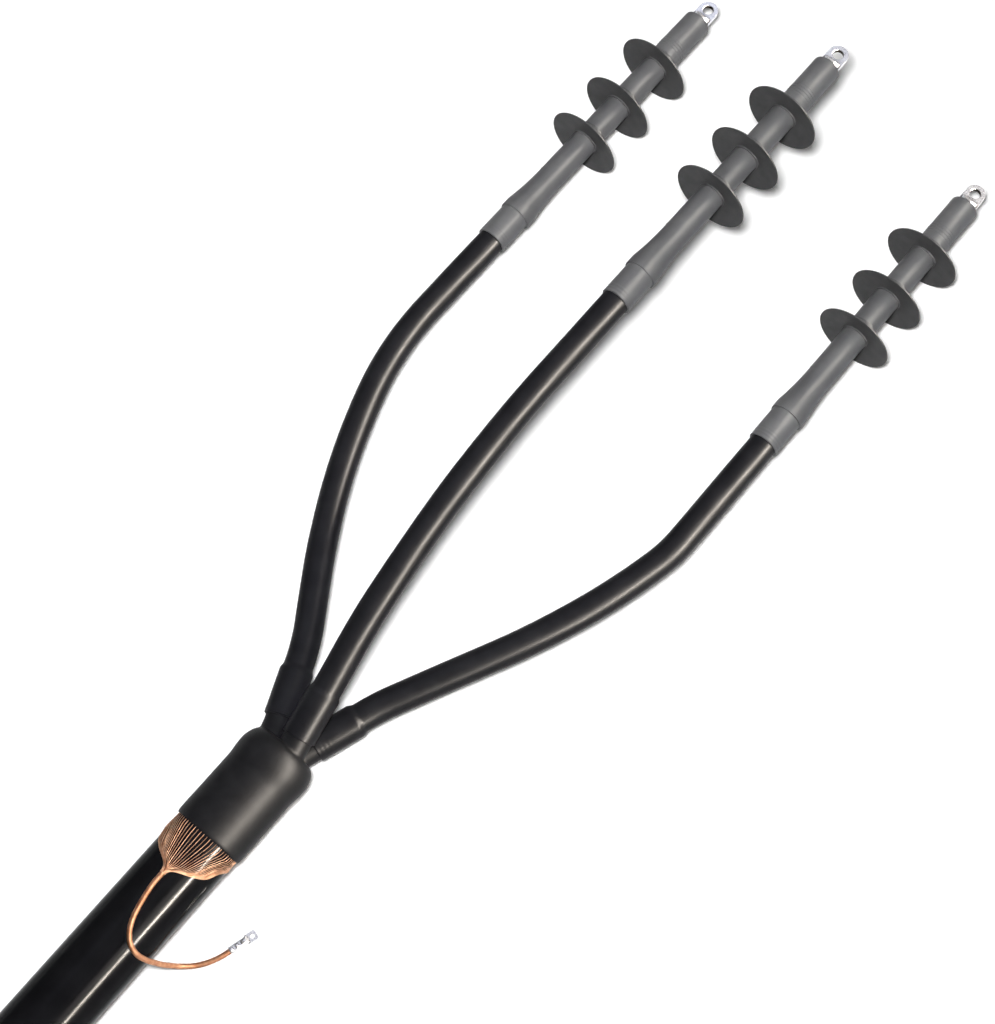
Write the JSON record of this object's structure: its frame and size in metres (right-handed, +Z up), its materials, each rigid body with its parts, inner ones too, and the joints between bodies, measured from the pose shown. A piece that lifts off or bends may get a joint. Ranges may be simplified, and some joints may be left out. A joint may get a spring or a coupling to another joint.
{
  "type": "cable termination",
  "caption": "Outdoor heat-shrink termination of a multi-core medium-voltage cable, with breakout boot, shedded phase ends, crimp lugs and an earth lead.",
  "frame": {"origin": "on the cable's axis, at the lower rim of the breakout boot", "axes": "+Y along the cable towards the lugs, +X to the right, +Z up from the floor it lies on"},
  "size_m": [0.505, 1.4705, 0.1735],
  "materials": {
    "cable_sheath": "polished",
    "cable_bedding": "matte",
    "copper": "satin",
    "breakout_boot": "satin",
    "filler": "matte",
    "insulation": "satin",
    "core_screen": "matte",
    "core_tube": "satin",
    "base_sleeve": "satin",
    "stress_tube": "satin",
    "body_tube": "satin",
    "shed": "matte",
    "top_sleeve": "satin",
    "tinned_lug": "satin",
    "sealant": "matte"
  },
  "bodies": {
    "root": {"cable_sheath": "cable_sheath", "cable_bedding": "cable_bedding", "screen_wires": "copper", "breakout_boot": "breakout_boot", "crotch_filler": "filler", "earth_lead": "copper", "earth_lug": "tinned_lug", "left_conductor": "copper", "middle_conductor": "copper", "right_conductor": "copper", "left_insulation": "insulation", "middle_insulation": "insulation", "right_insulation": "insulation", "left_core_screen": "core_screen", "middle_core_screen": "core_screen", "right_core_screen": "core_screen", "left_core_tube": "core_tube", "middle_core_tube": "core_tube", "right_core_tube": "core_tube", "left_base_sleeve": "base_sleeve", "middle_base_sleeve": "base_sleeve", "right_base_sleeve": "base_sleeve", "left_stress_tube": "stress_tube", "middle_stress_tube": "stress_tube", "right_stress_tube": "stress_tube", "left_body_tube": "body_tube", "middle_body_tube": "body_tube", "right_body_tube": "body_tube", "left_shed_lower": "shed", "middle_shed_lower": "shed", "right_shed_lower": "shed", "left_shed_middle": "shed", "middle_shed_middle": "shed", "right_shed_middle": "shed", "left_shed_upper": "shed", "middle_shed_upper": "shed", "right_shed_upper": "shed", "left_top_sleeve": "top_sleeve", "middle_top_sleeve": "top_sleeve", "right_top_sleeve": "top_sleeve", "left_lug": "tinned_lug", "middle_lug": "tinned_lug", "right_lug": "tinned_lug", "left_lug_sealant": "sealant", "middle_lug_sealant": "sealant", "right_lug_sealant": "sealant"}
  },
  "joints": []
}
